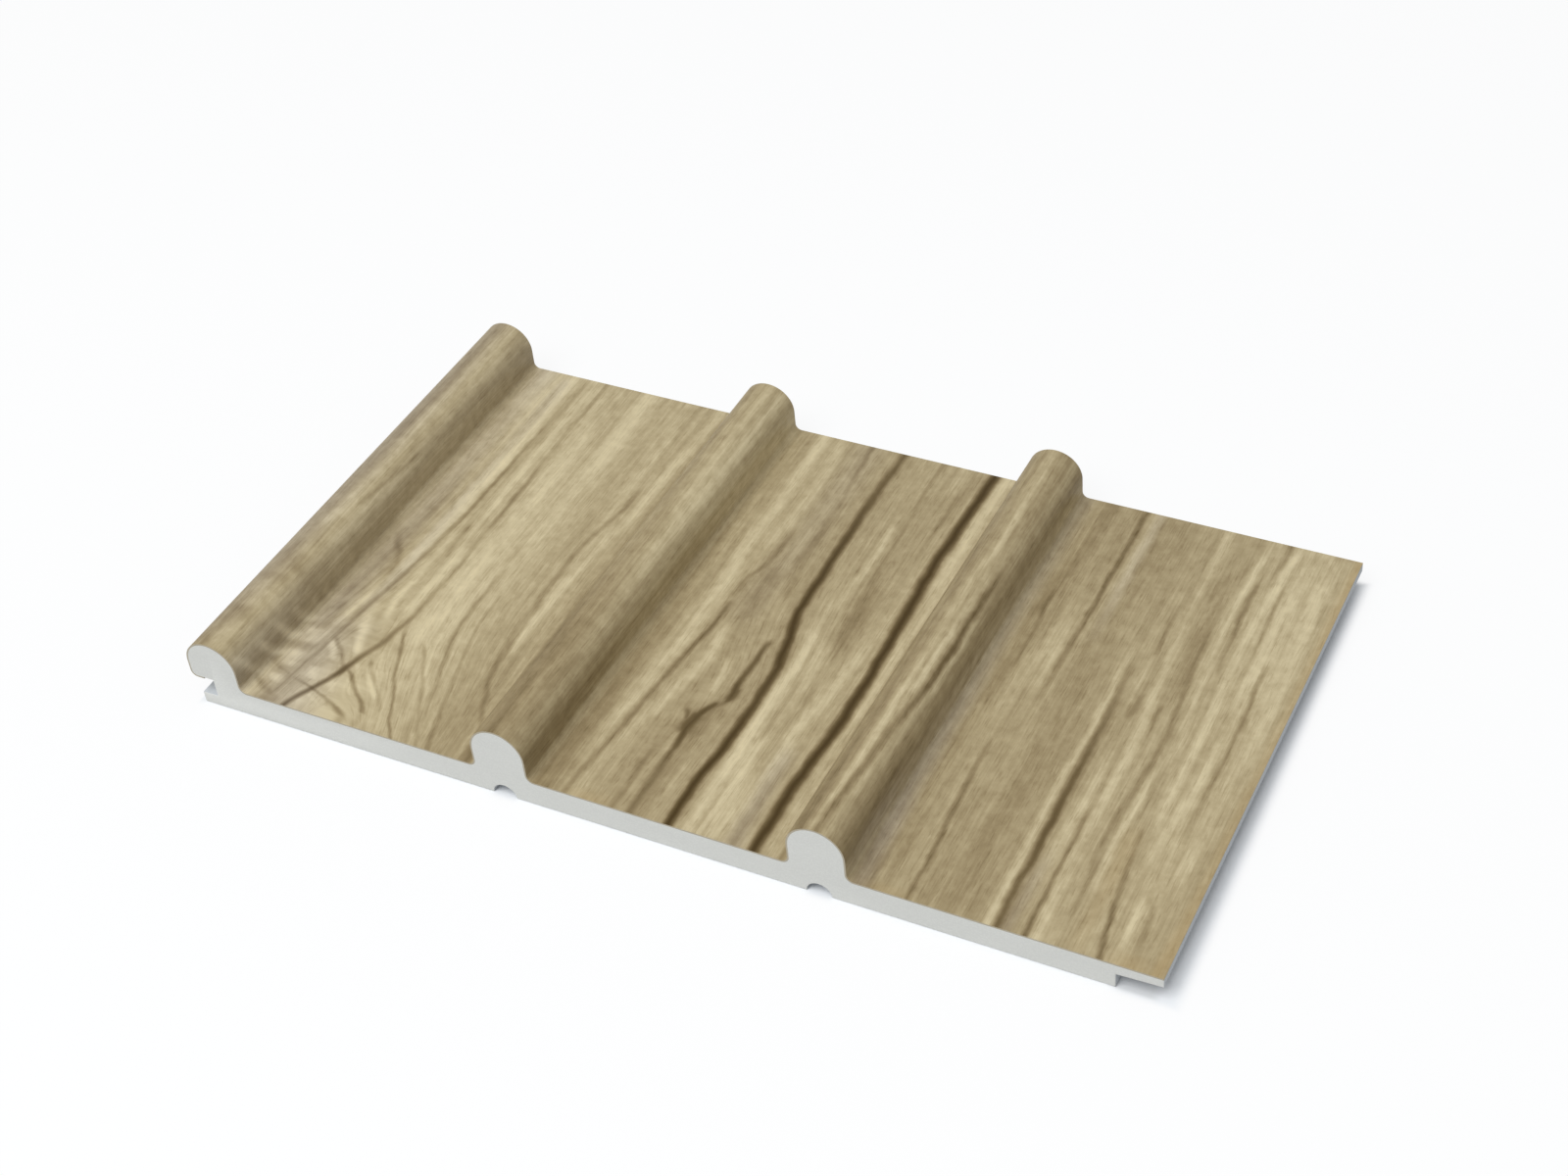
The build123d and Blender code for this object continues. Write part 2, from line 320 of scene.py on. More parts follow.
PALE_STREAKS = [
    # First slat, its side and its growth rings
    Mark(3.4, (REAR, 14, 50), (25, 18, 55), (10, 14, 60), (0, 16, 50), (-9, 16, 65), (-13, 6, 40),
         (-18, 6, 0), slat=0),
    Mark(9, (-24.4, 12, 0), (-26.6, 16, 30), (-28.8, 14, 42), (-31.2, 10, 0), slat=0),
    Mark(3, (38, 44, 0), (33, 44, 35), (27, 45, 35), (22, 44, 0), slat=0),
    Mark(3.6, (10, 66, 0), (4, 62, 35), (-6, 56, 40), (-13, 56, 40), (-17, 56, 0), slat=0),
    Mark(5, (-23, 160, 0), (-24.4, 140, 50), (-26.4, 100, 45), (-28.6, 62, 0), slat=0),
    Mark(5, (-26.6, 160, 0), (-28.2, 142, 90), (-30.4, 100, 80), (-32.8, 62, 0), slat=0),
    Mark(5, (-30.8, 160, 0), (-32.4, 142, 100), (-34.6, 100, 90), (-37, 62, 0), slat=0),
    Mark(5, (-35, 160, 0), (-36.6, 142, 90), (-38.8, 100, 80), (-41, 62, 0), slat=0),
    # First bay
    Mark(10, (REAR, -61.9, 85), (33, -61.9, 75), (25, -61.9, 50), (16, -62.8, 55), (9, -64, 45),
         (3, -64.4, 50), (-2, -64.4, 10)),
    Mark(3.8, (REAR, -57.4, 95), (25, -56.9, 80), (15, -57.2, 100), (8, -57.3, 100), (0, -57.4, 65),
         (-8, -57.9, 50), (-12, -58.2, 10)),
    Mark(2.6, (REAR, -53.4, 30), (25, -53.1, 60), (15, -53, 80), (8, -52.7, 65), (2, -52.2, 25),
         (-2, -51.9, 55), (-8, -51.7, 100), (-15, -51.9, 80), (-20, -51.9, 20)),
    Mark(2.2, (2, -54.7, 20), (-8, -55, 45), (-15, -55, 100), (-20, -54.3, 65), (-23, -54.2, 0)),
    Mark(2.4, (-12, -59.6, 0), (-15, -59.6, 45), (-20, -60, 75), (-24, -60.8, 40), (-26, -61, 0)),
    Mark(6.5, (30, -48, 25), (22, -47.4, 45), (12, -47.2, 50), (0, -46.8, 50), (-8, -47, 68),
         (-15, -46.2, 55), (-20, -47.2, 55), (-24, -46.4, 20), (-28, -44.6, 10)),
    Mark(3.2, (0, -44.2, 0), (-6, -44.4, 55), (-16, -44.2, 68), (-24, -43.6, 50), (-30, -43, 40),
         (-36, -42, 0)),
    Mark(5.5, (REAR, -43, 50), (33, -42.7, 55), (25, -42.6, 60), (18, -43.2, 35), (10, -42.6, 32),
         (3, -41.8, 35), (-3, -41.4, 0)),
    Mark(3, (36, -34.4, 0), (28, -34.8, 30), (20, -34.8, 25), (16, -34.8, 0)),
    Mark(2.6, (REAR, -30.5, 62), (33, -30.5, 75), (25, -30.9, 100), (19, -31, 92), (14, -30.9, 75),
         (8, -31.6, 50), (0, -32.5, 58), (-8, -32.9, 80), (-15, -32.9, 85), (-20, -32.6, 45),
         (-24, -32, 0)),
    # Cells of the fan
    Mark(22, (-24, -53, 0), (-29, -53, 35), (-34, -52.5, 62), (FRONT, -52, 70)),
    Mark(5, (-33, -65, 0), (-36, -64.6, 90), (FRONT, -64.6, 90)),
    Mark(3, (-16, -57, 0), (-20, -56.8, 45), (-25, -55.4, 100), (-27.5, -54.3, 100), (-29.2, -53.8, 0)),
    Mark(6, (-25, -62.4, 0), (-26.6, -62.4, 90), (-28, -62.2, 90), (-30, -62, 0)),
    Mark(6.4, (-30, -62.8, 0), (-31.8, -62.8, 95), (-33.4, -62.6, 95), (-35, -62.4, 0)),
    Mark(5, (-35.6, -63, 0), (-36.8, -62.6, 90), (-38.2, -61.4, 0)),
    Mark(3, (-26.6, -59.2, 0), (-28.4, -58.2, 90), (-30.4, -56.8, 85), (-32, -55.8, 0)),
    Mark(3.8, (-32, -58.2, 0), (-33.6, -57.8, 100), (-35, -57.4, 100), (-36, -57, 0)),
    Mark(3.6, (-33.6, -54, 0), (-35.4, -53.6, 100), (-36.6, -53, 95), (-38, -52.4, 0)),
    Mark(2.8, (-29, -53, 0), (-30.8, -52, 85), (-32.2, -51, 60), (-33, -50, 0)),
    Mark(2.4, (-32.4, -53, 0), (-34, -51.6, 90), (-36, -50, 80), (-37.8, -48.6, 0)),
    Mark(3, (-28.4, -50.4, 0), (-31, -49.8, 95), (-33.4, -48, 90), (-35.6, -46.4, 40), (-37, -45.6, 0)),
    Mark(4, (-37.4, -56, 0), (-38.6, -54.8, 90), (-39.8, -52.6, 60), (-41, -51, 0)),
    Mark(2.2, (-20, -46.4, 0), (-24, -44.4, 45), (-29, -41.6, 40), (-34, -39, 0)),
    # Second slat
    Mark(5.6, (REAR, 4, 45), (30, 2, 45), (20, 6, 60), (14, 6, 55), (6, 6, 10), slat=1),
    Mark(7, (REAR, 105, 55), (25, 105, 62), (14, 105, 42), (5, 105, 0), slat=1),
    # Partly a pale streak of the print, partly a painted highlight where the crown's light is brightest
    Mark(3.6, (REAR, 42, 55), (33, 42, 65), (20, 44, 75), (11, 40, 65), (5, 38, 20), slat=1),
    Mark(3, (12, 28, 20), (5, 30, 50), (-12, 32, 50), (-20, 32, 50), (-26, 18, 35), (-30, 11, 50),
         (-36, 14, 45), (FRONT, 14, 35), slat=1),
    # Second bay
    Mark(4, (REAR, -11.9, 80), (30, -11.7, 75), (22, -11.4, 95), (14, -11.6, 80), (6, -10.8, 95),
         (0, -10.8, 85), (-5, -10.8, 100), (-10, -10.9, 100), (-15, -11.5, 85), (-20, -11.2, 95),
         (-25, -11.6, 60), (-32, -12.2, 25)),
    Mark(3.4, (REAR, -8.6, 35), (30, -7.6, 60), (22, -7.9, 60), (14, -8.6, 35), (9, -8.8, 0)),
    Mark(4, (1, -6.4, 0), (-4, -6.2, 55), (-10, -5.6, 80), (-15, -6.3, 80), (-20, -7.2, 75),
         (-25, -8.2, 60), (-32, -9.2, 50), (FRONT, -9.4, 70)),
    Mark(3.2, (1, 6, 35), (-4, 6.9, 90), (-9, 7, 100), (-18, 6.9, 95), (-26, 7.2, 100), (-32, 7.2, 75),
         (FRONT, 7.4, 40)),
    Mark(5, (0, 9, 0), (-4, 9, 55), (-9, 9.6, 45), (-14, 10, 15)),
    Mark(4.5, (-20, 9, 0), (-25, 9, 60), (-32, 9.6, 70), (FRONT, 9.8, 40)),
    Mark(2.6, (27, 7.4, 0), (22, 7.3, 80), (15, 7.5, 65), (8, 6.7, 45), (3, 6.2, 35)),
    Mark(3.8, (REAR, 18.9, 100), (30, 18.8, 100), (20, 19, 100), (8, 19.2, 65), (-4, 19.2, 75),
         (-10, 19.3, 70), (-20, 19.2, 40), (-30, 19.4, 40), (FRONT, 19.6, 30)),
    Mark(2.6, (-6, -1.6, 0), (-9, -2.2, 35), (-13, -2, 60), (-16, -1.8, 55), (-19, -2.4, 0)),
    Mark(4, (10, 14, 0), (0, 14.4, 30), (-6, 14, 40), (-12, 13.6, 55), (-20, 12.8, 60), (-26, 13.4, 50),
         (-31, 12.2, 45), (-37, 11.8, 50), (FRONT, 11.6, 20)),
    Mark(3, (REAR, 11.6, 75), (36, 11.6, 45), (32, 11.4, 0)),
    Mark(2.6, (-27, 1.6, 0), (-32, 1.6, 35), (FRONT, 2, 40)),
    # Third slat
    Mark(2.2, (REAR, 2, 20), (31, 6, 60), (23, 6, 80), (17, 9, 70), (11, -3, 35), (5, 0, 30), (-3, 2, 35),
         (-11, 2, 50), (-21, 2, 65), (-29, 0, 50), (-35, -5, 40), (FRONT, -9, 50), slat=2),
    Mark(1.6, (20, 17, 0), (15, 18, 50), (9, 19, 50), (0, 19, 65), (-6, 20, 90), (-10, 18, 85),
         (-14, 14, 50), (-17, 17, 40), (-20, 14, 0), slat=2),
    Mark(1.8, (-16, 36, 0), (-20, 34, 15), (-25, 30, 40), (-31, 29, 80), (-36, 26, 55), (FRONT, 22, 80),
         slat=2),
    Mark(1.6, (8, 52, 0), (3, 52, 50), (-5, 52, 75), (-10, 50, 70), (-15, 46, 50), (-20, 40, 10), slat=2),
    # Third bay
    Mark(2.8, (REAR, 43.1, 75), (30, 43.1, 75), (22, 43.4, 55), (16, 43.6, 10)),
    Mark(4, (18, 38.2, 0), (13, 38.6, 40), (8, 38.4, 50), (4, 36.8, 35), (-4, 36.6, 35), (-10, 35.4, 10)),
    Mark(2.4, (12, 39.6, 0), (7, 39.8, 40), (2, 40, 35), (-2, 40, 0)),
    Mark(1.8, (12, 49.4, 30), (0, 49.7, 65), (-4, 49.8, 80), (-12, 49.7, 65), (-24, 49.8, 60),
         (-34, 50, 80), (FRONT, 50.1, 80)),
    Mark(2.6, (REAR, 54, 75), (33, 54, 60), (26, 54.4, 45), (20, 54.6, 50), (13, 54.8, 65), (8, 55, 55),
         (3, 55.4, 75), (-4, 56.1, 60), (-12, 56.2, 60), (-20, 56.2, 45), (-26, 56.1, 40)),
    Mark(2.2, (12, 52.6, 0), (8, 52.6, 45), (5, 52.6, 20), (3, 52.6, 0)),
    Mark(2.8, (-5, 53, 0), (-10, 53.6, 45), (-16, 53.8, 70), (-22, 53.7, 70), (-28, 53.9, 50),
         (-34, 53.8, 10)),
    Mark(3, (-24, 56.6, 20), (-30, 56.4, 55), (-35, 56.4, 75), (-40, 56.7, 100)),
    Mark(2, (38, 60.4, 45), (31, 59.9, 90), (25, 59.8, 60), (15, 60.4, 45), (8, 60.6, 60), (3, 61.2, 40),
         (-4, 61.8, 40), (-9, 60.8, 20), (-16, 60.5, 85), (-22, 60.3, 60), (-28, 60.4, 55),
         (-33, 60.5, 15)),
    Mark(2.2, (REAR, 64.6, 35), (34, 64, 85), (30, 63.9, 80), (22, 63.4, 50), (14, 63.5, 50), (8, 63.6, 60),
         (2, 64.1, 65), (-4, 64, 60), (-10, 64.1, 50), (-16, 64, 60), (-20, 64, 20)),
    Mark(2.4, (36, 66.8, 20), (31, 66.8, 55), (26, 66.5, 80), (20, 66.5, 70), (14, 66.5, 80), (8, 66.1, 60),
         (2, 65.6, 10), (-4, 66.8, 50), (-10, 66.4, 70), (-16, 66, 60), (-22, 65.6, 55), (-28, 66.6, 20),
         (-34, 67, 80), (-38, 67, 45), (FRONT, 67.2, 20)),
    Mark(3.4, (38, 70, 0), (32, 70, 55), (26, 70.4, 55), (14, 70.5, 50), (2, 70.8, 40), (-8, 70.6, 25),
         (-16, 70, 5), (-22, 70.2, 40), (-29, 70.2, 0)),
]

BROWN_STREAKS = [
    # First slat, between its growth rings
    Mark(10, (-18.4, 20, 0), (-21.2, 22, 60), (-23.8, 24, 0), slat=0),
    Mark(9, (-30.8, 12, 0), (-33.2, 14, 50), (-35.4, 16, 0), slat=0),
    Mark(4, (-17, 74, 0), (-21, 76, 55), (-25, 78, 30), (-29, 76, 30), (-33, 76, 0), slat=0),
    Mark(4, (-34.6, 38, 0), (-37, 38, 50), (-39.6, 36, 40), (FRONT, 34, 30), slat=0),
    Mark(3, (38, 66, 30), (26, 66, 30), (14, 62, 30), (8, 62, 0), slat=0),
    # First bay
    Mark(3.4, (REAR, -47, 20), (30, -46.8, 20), (22, -46.4, 5)),
    Mark(5.5, (REAR, -38.6, 30), (26, -38, 35), (12, -37.4, 40), (6, -36.8, 45), (0, -37, 25),
         (-12, -37, 25), (-18, -36.4, 45), (-26, -36, 40)),
    Mark(4, (17, -61.6, 0), (10, -61.4, 30), (-2, -61, 35), (-16, -61.6, 42), (-19, -62, 0)),
    Mark(9, (-8, -34, 0), (-18, -33, 35), (-27, -32.6, 50), (FRONT, -32, 50)),
    Mark(3, (REAR, -28.6, 20), (25, -28.5, 30), (14, -28.4, 65), (6, -28.3, 55), (-4, -28.3, 60),
         (FRONT, -27.4, 65)),
    Mark(4, (-34, -39, 0), (-38, -38.4, 50), (FRONT, -38, 50)),
    # Second slat
    Mark(12, (2, 0, 0), (-6, 0, 35), (-14, 0, 65), (-22, 0, 95), (FRONT, 4, 100), slat=1),
    Mark(9, (-8, 95, 0), (-16, 95, 40), (-22, 95, 70), (-30, 95, 90), (FRONT, 95, 100), slat=1),
    # Second bay
    Mark(6, (14, -15.6, 0), (6, -15.6, 25), (-4, -15.6, 35), (-14, -15.4, 70), (-24, -15.2, 90),
         (FRONT, -15, 100)),
    Mark(5, (16, 10, 15), (10, 10.2, 55), (5, 10.6, 90), (-2, 10.8, 70), (-5, 11, 20), (-9, 11, 0)),
    Mark(4, (33, -2.4, 0), (24, -2.2, 55), (14, -2, 85), (6, -1.2, 55), (2, -1, 0)),
    Mark(5, (13, -5.2, 0), (8, -4.6, 70), (2, -4.6, 60), (-2, -4.8, 25), (-5, -4.6, 0)),
    Mark(5, (-14, 0, 0), (-18, 0, 35), (-22, -0.2, 60), (-28, -0.6, 45), (-36, -0.8, 65),
         (FRONT, -0.8, 60)),
    Mark(3.2, (-20, 14, 0), (-25, 14.2, 45), (-33, 14.2, 60), (FRONT, 14.2, 70)),
    # Third slat
    Mark(4.4, (2, -27, 0), (-6, -28, 40), (-20, -28, 35), (-30, -25, 60), (FRONT, -26, 95), slat=2),
    Mark(3, (REAR, 34, 45), (33, 34, 45), (23, 32, 20), (17, 32, 0), slat=2),
    Mark(4, (-16, 70, 0), (-22, 70, 30), (-29, 72, 65), (-34, 74, 50), (FRONT, 74, 45), slat=2),
    # Third bay
    Mark(3, (36, 58.2, 35), (29, 57.6, 55), (24, 57, 45), (18, 57, 50), (12, 57.4, 55), (6, 58, 30),
         (0, 58.2, 0)),
    Mark(6, (REAR, 45.4, 40), (26, 45.2, 35), (15, 44.8, 20), (4, 44.8, 30), (-10, 45.4, 30), (-24, 45, 45),
         (-33, 44.2, 75), (FRONT, 44.2, 60)),
    Mark(4.4, (REAR, 39, 25), (28, 39, 42), (20, 39.4, 25), (12, 39.4, 0)),
    Mark(4, (REAR, 36.4, 65), (30, 36, 55), (20, 34.6, 60), (14, 34, 20)),
    Mark(4.4, (8, 34.6, 0), (2, 34.6, 35), (-4, 34.4, 20), (-8, 34.4, 0)),
    Mark(5, (-29, 32.6, 0), (-36, 32.8, 42), (FRONT, 32.8, 50)),
    Mark(3.6, (-18, 40.8, 0), (-23, 40.8, 40), (-30, 40.8, 25), (-36, 41.6, 40), (FRONT, 41.6, 65)),
    Mark(4, (40, 57.6, 30), (34, 57.4, 40), (28, 56.2, 55), (23, 55.6, 0)),
    Mark(3, (-24, 52.8, 0), (-33, 52.6, 25), (FRONT, 52.8, 40)),
    Mark(2.6, (-30, 61.2, 0), (-34, 61.2, 35), (FRONT, 60.4, 30)),
    Mark(6, (-14, 71.2, 0), (-20, 71.2, 15), (-30, 71.2, 20), (FRONT, 71.6, 30)),
    Mark(2.6, (REAR, 70.2, 35), (36, 70, 0)),
]

GREY_STREAKS = [
    Mark(8, (REAR, -62.6, 75), (28, -62.6, 50), (18, -62.6, 55), (5, -62.4, 62), (-10, -62.6, 62),
         (-22, -62.8, 85), (-30, -63, 60)),
    Mark(4.4, (38, -58.2, 50), (20, -58.2, 30), (5, -58, 45), (-8, -57.8, 50), (-22, -58.6, 40)),
    Mark(18, (-16, -60.5, 0), (-24, -60.5, 70), (-33, -59.6, 95), (FRONT, -58, 95)),
    Mark(9, (REAR, -4, 30), (20, -4, 25), (2, -5, 20), (-6, -5, 0)),
    Mark(5, (REAR, 31.6, 50), (28, 31.6, 45), (10, 31.4, 55), (-10, 31.6, 75), (-20, 31.6, 80),
         (-30, 32, 100), (-36, 32.3, 80), (FRONT, 32.6, 70)),
    Mark(4.6, (-20, 13.2, 0), (-27, 13.6, 55), (FRONT, 14.2, 50)),
    Mark(3, (REAR, 43.4, 45), (24, 43.4, 40), (14, 43.6, 15)),
    Mark(3, (-24, 53.2, 0), (-32, 53, 40), (FRONT, 52.8, 45)),
    Mark(7, (30, 108, 15), (10, 108, 30), (-9, 108, 40), (-20, 108, 40), (-30, 108, 90), (-35, 108, 80),
         (FRONT, 108, 20), slat=2),
    Mark(12, (REAR, 95, 60), (20, 95, 50), (0, 95, 50), (-20, 95, 60), (-32, 100, 100), (FRONT, 100, 100),
         slat=0),
    Mark(9, (REAR, -18, 70), (10, -18, 90), (-12, -18, 90), (-32, -18, 60), (FRONT, -18, 20), slat=0),
]

WARM_STREAKS = [
    Mark(3.4, (REAR, 73.6, 90), (20, 73.6, 75), (-10, 73.6, 60), (-30, 73.4, 75), (FRONT, 72.6, 100)),
    Mark(9, (-38, 69, 0), (-39.6, 69, 35), (FRONT, 69, 80)),
    Mark(9, (-38.6, -8, 0), (-40, -8, 30), (FRONT, -8, 70)),
    Mark(9, (-39, 36, 0), (-40.2, 36, 25), (FRONT, 36, 60)),
    Mark(4, (-16, 61.6, 0), (-24, 61.8, 50), (-32, 62, 40), (FRONT, 62, 20)),
]


# Shader maths: values add Math nodes, and one method adds any other node

class Value:
    """A number, colour or vector inside a finish. Arithmetic on numbers adds Math nodes."""

    def __init__(self, finish, socket):
        self.finish = finish
        self.socket = socket

    def math(self, operation, *terms):
        """A Math node on these terms, which are values or numbers."""
        return self.finish.node("ShaderNodeMath", {"operation": operation}, dict(enumerate(terms)))

    def __add__(self, other):
        return self.math("ADD", self, other)

    __radd__ = __add__

    def __sub__(self, other):
        return self.math("SUBTRACT", self, other)

    def __rsub__(self, other):
        return self.math("SUBTRACT", other, self)

    def __mul__(self, other):
        return self.math("MULTIPLY", self, other)

    __rmul__ = __mul__

    def __truediv__(self, other):
        return self.math("DIVIDE", self, other)

    def __rtruediv__(self, other):
        return self.math("DIVIDE", other, self)

    def __abs__(self):
        return self.math("ABSOLUTE", self)

    def at_least(self, other):
        return self.math("MAXIMUM", self, other)


def set_stops(ramp, stops):
    """Gives a colour ramp its (place, colour) stops."""
    while len(ramp.elements) < len(stops):
        ramp.elements.new(1.0)
    for element, (place, tone) in zip(ramp.elements, stops):
        element.position = place
        element.color = tone


def set_points(mapping, points):
    """Gives a float curve its (place, height) points."""
    curve = mapping.curves[0]
    while len(curve.points) < len(points):
        curve.points.new(0.5, 0.5)
    for point, place in zip(curve.points, points):
        point.location = place
        point.handle_type = "AUTO_CLAMPED"
    mapping.extend = "HORIZONTAL"
    mapping.update()


class Finish:
    """The nodes of a material or of the sky, with the one method that adds a node to them."""

    def __init__(self, owner):
        owner.use_nodes = True
        self.owner = owner
        self.tree = owner.node_tree
        self.tree.nodes.clear()

    def node(self, kind, settings=None, inputs=None, output=0):
        """Adds a node: its settings first, then the values or links of its sockets."""
        made = self.tree.nodes.new(kind)
        for name, setting in (settings or {}).items():
            if name == "stops":
                set_stops(made.color_ramp, setting)
            elif name == "points":
                set_points(made.mapping, setting)
            else:
                setattr(made, name, setting)
        for name, value in (inputs or {}).items():
            if isinstance(value, Value):
                self.tree.links.new(value.socket, made.inputs[name])
            else:
                made.inputs[name].default_value = value
        return Value(self, made.outputs[output]) if made.outputs else None

    def object_place(self):
        """The X, Y and Z of the piece's own coordinates, in millimetres."""
        place = self.node("ShaderNodeTexCoord", output="Object")
        return [self.node("ShaderNodeSeparateXYZ", None, {0: place}, axis) / MM for axis in range(3)]

    def vector(self, x, y, z=0.0):
        return self.node("ShaderNodeCombineXYZ", None, {0: x, 1: y, 2: z})

    def noise(self, place, detail=2.0, roughness=0.5):
        """Smooth noise about one unit across."""
        sockets = {"Vector": place, "Scale": 1.0, "Detail": detail, "Roughness": roughness}
        return self.node("ShaderNodeTexNoise", {"noise_dimensions": "3D"}, sockets)

    def stretched(self, place, waves, detail):
        """Noise with its own waves per millimetre along X, Y and Z."""
        return self.noise(self.vector(*[part * count for part, count in zip(place, waves)]), detail)

    def ease(self, value, low, high, at_low=0.0, at_high=1.0):
        """Runs smoothly from one height to another as the value goes from low to high."""
        sockets = {"Value": value, "From Min": low, "From Max": high, "To Min": at_low, "To Max": at_high}
        return self.node("ShaderNodeMapRange", {"interpolation_type": "SMOOTHSTEP", "clamp": False}, sockets)

    def mix(self, factor, first, second):
        """A colour between two colours."""
        sockets = {0: factor, 6: first, 7: second}
        return self.node("ShaderNodeMix", {"data_type": "RGBA"}, sockets, output=2)

    def shaded(self, shade, tone, darkest):
        """A colour that goes from its darkest share, where the shade is 0, up to itself."""
        return self.mix(shade, opaque(tone, darkest), opaque(tone))

    def curve(self, value, points):
        return self.node("ShaderNodeFloatCurve", {"points": points}, {"Value": value})

    def bump(self, height, strength, distance):
        sockets = {"Strength": strength, "Distance": distance, "Height": height}
        return self.node("ShaderNodeBump", None, sockets)

    def surface(self, shader):
        self.node("ShaderNodeOutputMaterial", None, {"Surface": shader})
        return self.owner

    def plastic(self, sockets):
        """The finished material, with one shader that has these sockets."""
        return self.surface(self.node("ShaderNodeBsdfPrincipled", None, sockets))


def new_finish(name):
    return Finish(bpy.data.materials.new(name))


def opaque(tone, share=1.0):
    """A colour, or a share of it, with no see-through."""
    return (*[share * part for part in tone], 1.0)


# The printed wood: places are in millimetres, and tones run from 0 for black to 1 for white

PRINT_MARGIN = 20.0  # room for the curves beyond the first slat's top line
PRINT_SPAN = 240.0  # width across the film that the curves cover
LEAN_SPAN = 20.0  # from the furthest lean to one side to the furthest to the other
ROUTE_END = 3.0  # how far a mark runs on as it fades past the ends of its route
SHAKE = 0.9  # how far the marks waver
WINDOW_CORE = 0.25  # share of a window's half width that it fills
MIDDLE = 0.5  # of the range of a noise or a curve

# The tones at which the print takes its colours
PRINT_TONES = {"split": 0.15, "wood_deep": 0.35, "wood_brown": 0.52, "wood_tan": 0.625, "wood_pale": 0.74}
LIGHTEST_TONE = 0.88
LIGHTEST_SHARE = 1.3  # of the pale colour

# How far each layer of the figure shifts the tone
BAND_TONE = 0.16
FIBRE_TONE = 0.2
THREAD_TONE = 0.12
FLECK_TONE = 0.19
PALE_TONE = 0.145
BROWN_TONE = 0.12
RING_TONE = 0.22
PORE_TONE = 0.05
LINE_TONE = 0.21

# What weathering and wear do to the colour
GREY_CAST = {"Hue": 0.495, "Saturation": 0.78, "Value": 0.98}
WARM_SHARE = 0.35

# Growth rings, in waves per millimetre
RINGS_ALONG = 0.3
RINGS_SLANT = 0.06
RINGS_ACROSS = 0.13
RINGS_SEED = 5.0

# The print's feel
THREAD_RELIEF = 0.5
FIBRE_RELIEF = 0.3
PORE_RELIEF = 0.6
PRINT_ROUGHNESS = 0.52
PORE_ROUGHNESS = 0.12
FIBRE_ROUGHNESS = 0.14


class Print:
    """The print's coordinates inside a finish: along the slats, and across the film laid flat."""

    def __init__(self, finish, profile):
        self.finish = finish
        self.profile = profile
        self.along = finish.object_place()[1]
        self.across = finish.node("ShaderNodeAttribute", {"attribute_name": "across"}, output="Fac") / MM
        self.half = (REAR_END - FRONT_END) / MM / 2
        waver = self.figure(self.across, across=0.3, along=0.22, seed=0.0, detail=3.0, roughness=0.5)
        shake = (waver - MIDDLE) * SHAKE
        self.run = (self.along + self.half + shake) / (2 * self.half)
        self.spread = (self.across + PRINT_MARGIN + shake) / PRINT_SPAN

    def run_of(self, along):
        return (along + self.half) / (2 * self.half)

    def spread_of(self, across):
        return (across + PRINT_MARGIN) / PRINT_SPAN

    def sheet(self, x):
        """Where a place on the sheet lies across the film laid flat."""
        return self.profile.sheet_place(x * MM) / MM

    def slat(self, number, degrees):
        """Where a place on a slat lies across the film laid flat."""
        return self.profile.slat_place(number, degrees) / MM

    def figure(self, grain, across, along, seed, detail, roughness):
        """Noise with its own waves per millimetre across the grain and along it."""
        place = self.finish.vector(grain * across, self.along * along, seed)
        return self.finish.noise(place, detail, roughness)

    def mark(self, mark):
        """1 along the middle of a mark where it is strong, down to 0 at its sides and ends."""
        points = sorted(mark.points(self.profile))
        route = [(self.run_of(along), self.spread_of(across)) for along, across, strength in points]
        strengths = [(self.run_of(along), strength) for along, across, strength in points]
        away = abs(self.spread - self.finish.curve(self.run, route))
        half_width = mark.width / 2 / PRINT_SPAN
        side = self.finish.ease(away, 0.0, half_width, 1.0, 0.0)
        fade = self.run_of(ROUTE_END) - self.run_of(0)
        return side * self.finish.curve(self.run, faded(strengths, fade))

    def marks(self, marks):
        """The strongest of several marks at each place."""
        total = self.mark(marks[0])
        for mark in marks[1:]:
            total = total.at_least(self.mark(mark))
        return total

    def window(self, middle, half_width):
        """1 at a place across the print, and 0 past half a width to each side."""
        return self.finish.ease(abs(self.across - middle), WINDOW_CORE * half_width, half_width, 1.0, 0.0)

    def lean(self, *route):
        """How far the grain leans to the side, from (along, side) points."""
        points = [(self.run_of(along), MIDDLE + side / LEAN_SPAN) for along, side in sorted(route)]
        return self.finish.curve(self.run, points) * LEAN_SPAN - MIDDLE * LEAN_SPAN


def faded(strengths, end):
    """The strengths along a route, which fall to 0 past ends that lie inside the panel."""
    first, last = strengths[0], strengths[-1]
    points = list(strengths)
    if first[0] > end:
        points.insert(0, (first[0] - end, 0.0))
    if last[0] < 1 - end:
        points.append((last[0] + end, 0.0))
    return points


def grain_flow(wood):
    """How far the grain lines lean to the side: round the knot of the first bay, and beside the splits."""
    left_of_knot = wood.lean((REAR, 0), (12, 0), (-12, -2), (-25, -4), (FRONT, -6))
    right_of_knot = wood.lean((REAR, 0), (0, 0), (-18, 1.2), (-28, 3.5), (FRONT, 8))
    beside_split = wood.lean(
        (REAR, -0.3), (14, 0), (3, 0.6), (-5, 1.8), (-13, 3), (-22, 3.2), (FRONT, 2.6)
    )
    flow = left_of_knot * wood.window(wood.sheet(-60), half_width=8)
    flow = flow + right_of_knot * wood.window(wood.sheet(-41), half_width=15)
    return flow + beside_split * wood.window(wood.sheet(3), half_width=11)


